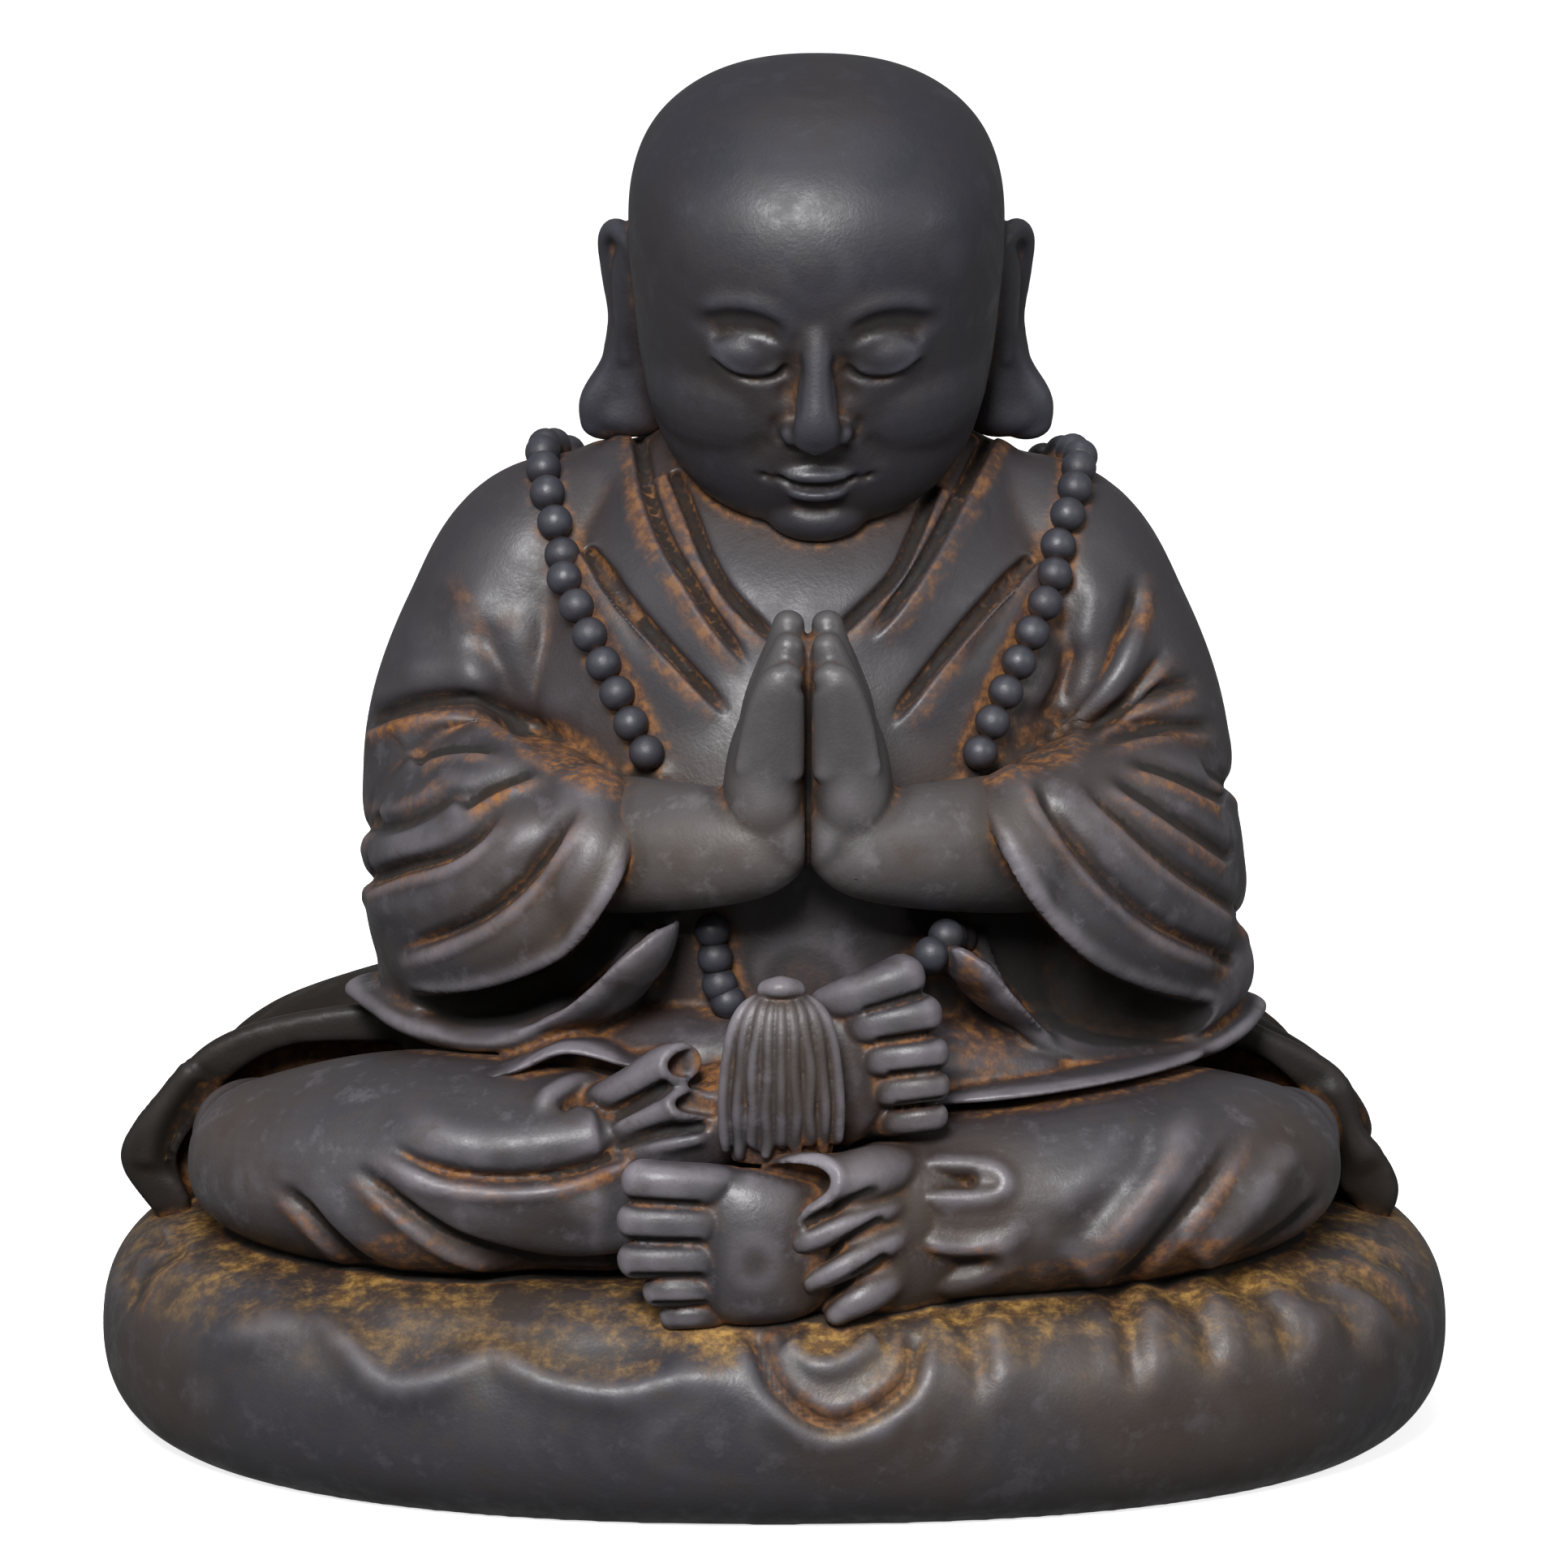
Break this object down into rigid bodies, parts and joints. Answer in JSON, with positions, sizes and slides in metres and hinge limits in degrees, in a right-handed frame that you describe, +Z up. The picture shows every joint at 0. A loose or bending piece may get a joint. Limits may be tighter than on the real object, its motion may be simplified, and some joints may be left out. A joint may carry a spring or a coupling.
{
  "type": "seated praying monk statue",
  "caption": "Cast resin statue of a shaven-headed monk in wide robes, hands together in prayer, seated cross-legged on a round cushion, with a bead string and tassel",
  "frame": {"origin": "on the underside, at the middle of the cushion's width and depth", "axes": "+Z up; the figure faces -Y; +X is to the viewer's right"},
  "size_m": [0.3932, 0.2645, 0.3999],
  "materials": {
    "resin": "satin"
  },
  "bodies": {
    "root": {"monk_statue": "resin"}
  },
  "joints": []
}
